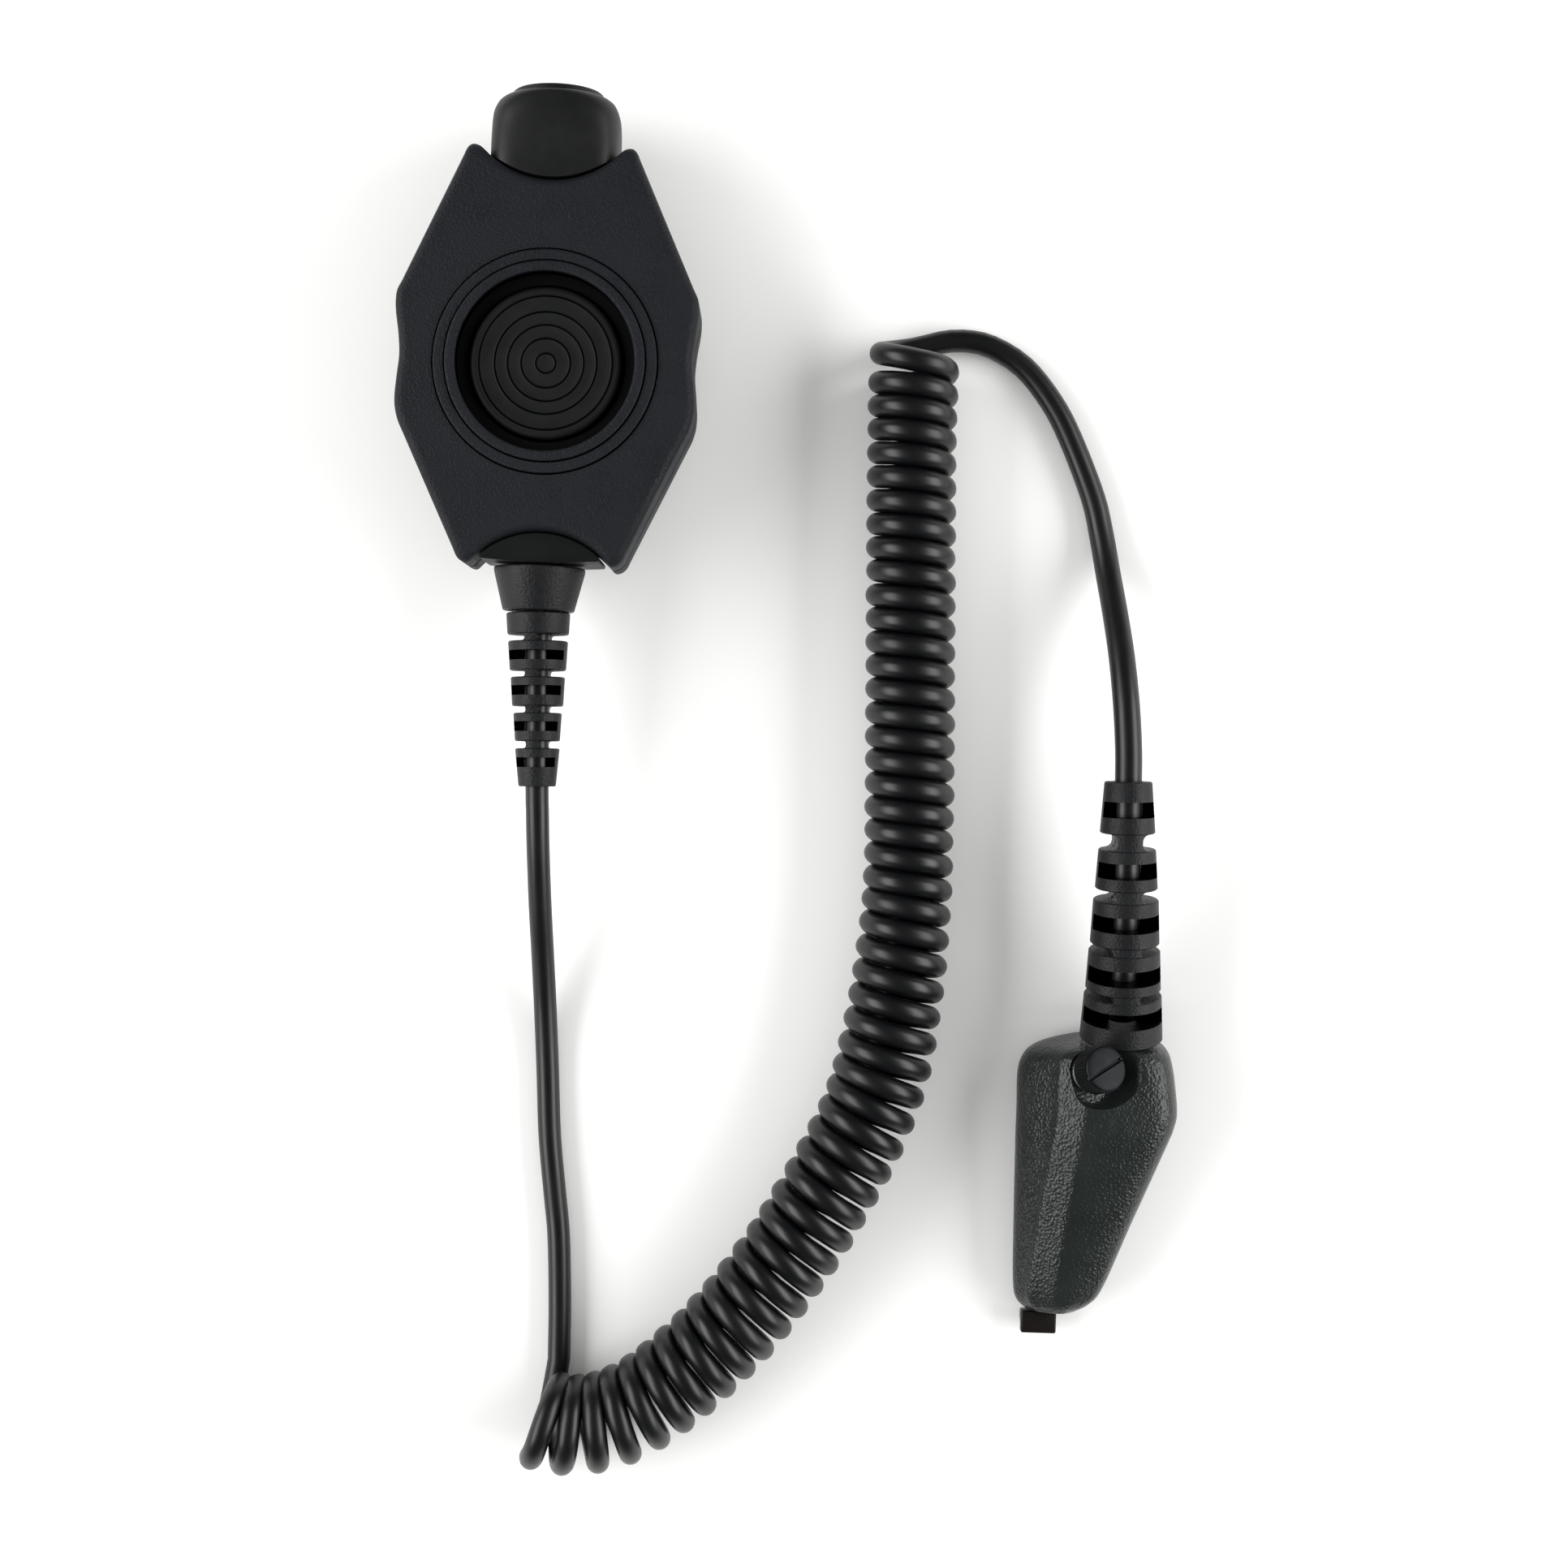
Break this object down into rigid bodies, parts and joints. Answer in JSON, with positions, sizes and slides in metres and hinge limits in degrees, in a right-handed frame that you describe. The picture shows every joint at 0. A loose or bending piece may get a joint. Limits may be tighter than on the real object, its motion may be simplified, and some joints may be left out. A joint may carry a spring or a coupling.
{
  "type": "push-to-talk headset adapter",
  "caption": "In-line push-to-talk adapter for a radio headset: shield-shaped box with a round button, booted jack and back clip, on a curly cord that ends in a side plug with a thumbscrew.",
  "frame": {"origin": "on the surface that the adapter lies on, under the button's axis, on the flat underside of its garment clip", "axes": "+Z out of the button's face, +Y out of the headset jack, +X to the right of the button seen from the front"},
  "size_m": [0.1416, 0.2422, 0.0263],
  "materials": {
    "shell_abs": "fine moulded grain, matte",
    "button_abs": "fine moulded grain, matte",
    "boot_rubber": "satin moulded rubber",
    "block_plastic": "satin moulded plastic",
    "relief_rubber": "fine-grained thermoplastic rubber",
    "cord_polyurethane": "satin extruded polyurethane",
    "plug_plastic": "coarse leather grain, semi-gloss",
    "hook_plastic": "satin moulded plastic",
    "steel": "stamped, satin",
    "nickel": "nickel plated, satin",
    "black_steel": "black oxide",
    "brass_gold": "gold flash",
    "seal_rubber": "matte moulded rubber",
    "board_laminate": "solder resist",
    "component_black": "moulded",
    "switch_white": "moulded"
  },
  "bodies": {
    "adapter": {"front_shell": "shell_abs", "rear_shell": "shell_abs", "shell_gasket_left": "seal_rubber", "shell_gasket_right": "seal_rubber", "return_spring": "steel", "button_retainer": "component_black", "button_seal": "seal_rubber", "circuit_board": "board_laminate", "push_switch": "switch_white", "amplifier_module": "component_black", "jack_boot": "boot_rubber", "jack_bushing": "nickel", "jack_nut": "nickel", "jack_housing": "component_black", "jack_contact_tip": "brass_gold", "jack_contact_ring": "brass_gold", "jack_contact_second_ring": "brass_gold", "jack_contact_sleeve": "brass_gold", "cable_block": "block_plastic", "cable_collar": "relief_rubber", "cable_strain_relief": "relief_rubber", "cable_inner_end": "cord_polyurethane", "cable_clamp": "steel", "clip_base": "steel", "clip_pin": "steel", "clip_spring": "steel", "clip_screw_1": "steel", "clip_screw_2": "steel", "lead_cord": "cord_polyurethane", "tail_cord": "cord_polyurethane", "plug_cover": "plug_plastic", "plug_base": "plug_plastic", "plug_gasket": "seal_rubber", "plug_hook": "hook_plastic", "plug_strain_relief": "relief_rubber", "shell_screw_1": "black_steel", "coil_stretch_1": "cord_polyurethane", "shell_screw_2": "black_steel", "coil_stretch_2": "cord_polyurethane", "shell_screw_3": "black_steel", "coil_stretch_3": "cord_polyurethane", "shell_screw_4": "black_steel", "coil_stretch_4": "cord_polyurethane", "board_screw_1": "steel", "board_screw_2": "steel", "plug_contact_01": "brass_gold", "plug_contact_02": "brass_gold", "plug_contact_03": "brass_gold", "plug_contact_04": "brass_gold", "plug_contact_05": "brass_gold", "plug_contact_06": "brass_gold", "plug_contact_07": "brass_gold", "plug_contact_08": "brass_gold"},
    "button": {"button_cap": "button_abs", "button_plunger": "component_black", "switch_actuator": "component_black"},
    "clip_jaw": {"clip_jaw": "steel"},
    "screw_slider": {"thumbscrew_washer": "steel"},
    "thumbscrew": {"thumbscrew": "nickel", "thumbscrew_ring": "steel"}
  },
  "joints": [
    {"name": "ptt_press", "type": "slide", "parent": "adapter", "child": "button", "axis": [0, 0, -1], "range_m": [0, 0.0015], "stiffness_N_per_m": 1500, "springref_m": -0.002, "deforming": ["return_spring"]},
    {"name": "clip_open", "type": "hinge", "parent": "adapter", "child": "clip_jaw", "pos_m": [0, 0.009, 0.0035], "axis": [1, 0, 0], "range_deg": [0, 16], "stiffness_Nm_per_rad": 0.25, "springref_deg": -20.05},
    {"name": "thumbscrew_float", "type": "slide", "parent": "adapter", "child": "screw_slider", "axis": [0.3966, 0.2221, 0.8907], "range_m": [0, 0.002]},
    {"name": "thumbscrew_turn", "type": "hinge", "parent": "screw_slider", "child": "thumbscrew", "pos_m": [0.1013, -0.1189, 0.0203], "axis": [0.3966, 0.2221, 0.8907], "continuous": true}
  ]
}
